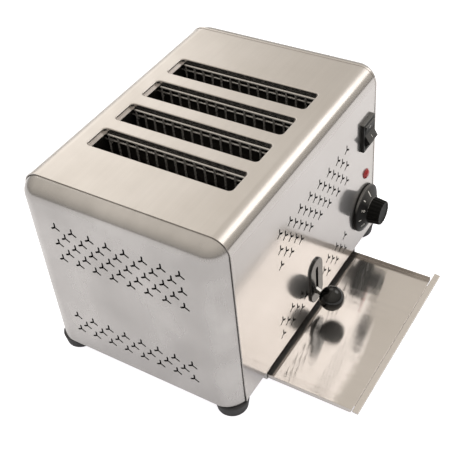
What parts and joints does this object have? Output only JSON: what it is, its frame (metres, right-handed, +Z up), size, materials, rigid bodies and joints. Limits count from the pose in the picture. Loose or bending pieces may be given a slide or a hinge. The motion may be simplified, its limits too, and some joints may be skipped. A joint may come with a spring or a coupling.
{
  "type": "toaster",
  "caption": "Free-standing commercial toaster in folded steel with top bread slots, lever lift, timer dial, rocker switch, signal lamp and a sliding crumb tray",
  "frame": {"origin": "under the middle of the outline with the crumb tray pulled out, at the level of the feet's undersides", "axes": "+Z up; +X along the body towards the dial's end; the control wall faces -Y and the cord's gland +Y"},
  "size_m": [0.3, 0.313, 0.2104],
  "materials": {
    "brushed_steel": "brushed",
    "mirror_steel": "polished",
    "bright_steel": "satin",
    "plain_steel": "matte",
    "rubber": "matte",
    "black_gloss": "gloss",
    "black_plastic": "satin",
    "timer_case": "matte",
    "red_lens": "gloss",
    "ceramic": "satin",
    "mica": "satin",
    "heater_ribbon": "satin",
    "brass": "satin",
    "lead_sleeve": "matte"
  },
  "bodies": {
    "root": {"wrap_shell": "brushed_steel", "left_end_cap": "brushed_steel", "right_end_cap": "brushed_steel", "rubber_feet": "rubber", "foot_screws": "bright_steel", "foot_nuts": "bright_steel", "pan_screws": "bright_steel", "base_plate": "plain_steel", "front_chamber_plate": "plain_steel", "rear_chamber_plate": "plain_steel", "left_heat_shield": "plain_steel", "right_heat_shield": "plain_steel", "ceramic_insulators": "ceramic", "bus_bars": "plain_steel", "guide_rods": "bright_steel", "rod_brackets": "plain_steel", "lever_escutcheon": "black_gloss", "timer_body": "timer_case", "switch_housing": "black_plastic", "lamp_lens": "red_lens", "lamp_body": "timer_case", "terminal_block": "ceramic", "brass_terminals": "brass", "cord_gland": "black_plastic", "gland_nut": "black_plastic", "earth_screw": "brass", "left_tray_rail": "bright_steel", "right_tray_rail": "bright_steel", "internal_leads": "lead_sleeve", "element_board_1": "mica", "element_winding_1": "heater_ribbon", "element_board_2": "mica", "element_winding_2": "heater_ribbon", "element_board_3": "mica", "element_winding_3": "heater_ribbon", "element_board_4": "mica", "element_winding_4": "heater_ribbon", "element_board_5": "mica", "element_winding_5": "heater_ribbon", "guide_grid_1": "bright_steel", "guide_grid_2": "bright_steel", "guide_grid_3": "bright_steel", "guide_grid_4": "bright_steel", "guide_grid_5": "bright_steel", "guide_grid_6": "bright_steel", "guide_grid_7": "bright_steel", "guide_grid_8": "bright_steel"},
    "tray": {"crumb_tray": "mirror_steel", "tray_handle": "mirror_steel"},
    "carriage": {"carriage_plate": "plain_steel", "carriage_bushes": "brass", "lever_arm": "bright_steel", "ball_knob": "black_gloss", "bread_rack_1": "bright_steel", "bread_rack_2": "bright_steel", "bread_rack_3": "bright_steel", "bread_rack_4": "bright_steel"},
    "dial": {"timer_knob": "black_plastic", "timer_shaft": "bright_steel"},
    "rocker": {"switch_rocker": "black_plastic"}
  },
  "joints": [
    {"name": "tray_slide", "type": "slide", "parent": "root", "child": "tray", "axis": [0, 1, 0], "range_m": [-0.06, 0.084]},
    {"name": "lever_lift", "type": "slide", "parent": "root", "child": "carriage", "axis": [0, 0, 1], "range_m": [0, 0.026]},
    {"name": "dial_turn", "type": "hinge", "parent": "root", "child": "dial", "pos_m": [0.1104, -0.07, 0.0566], "axis": [0, 1, 0], "range_deg": [0, 300]},
    {"name": "rocker_tilt", "type": "hinge", "parent": "root", "child": "rocker", "pos_m": [0.1128, -0.0565, 0.1504], "axis": [1, 0, 0], "range_deg": [0, 22.6]}
  ]
}
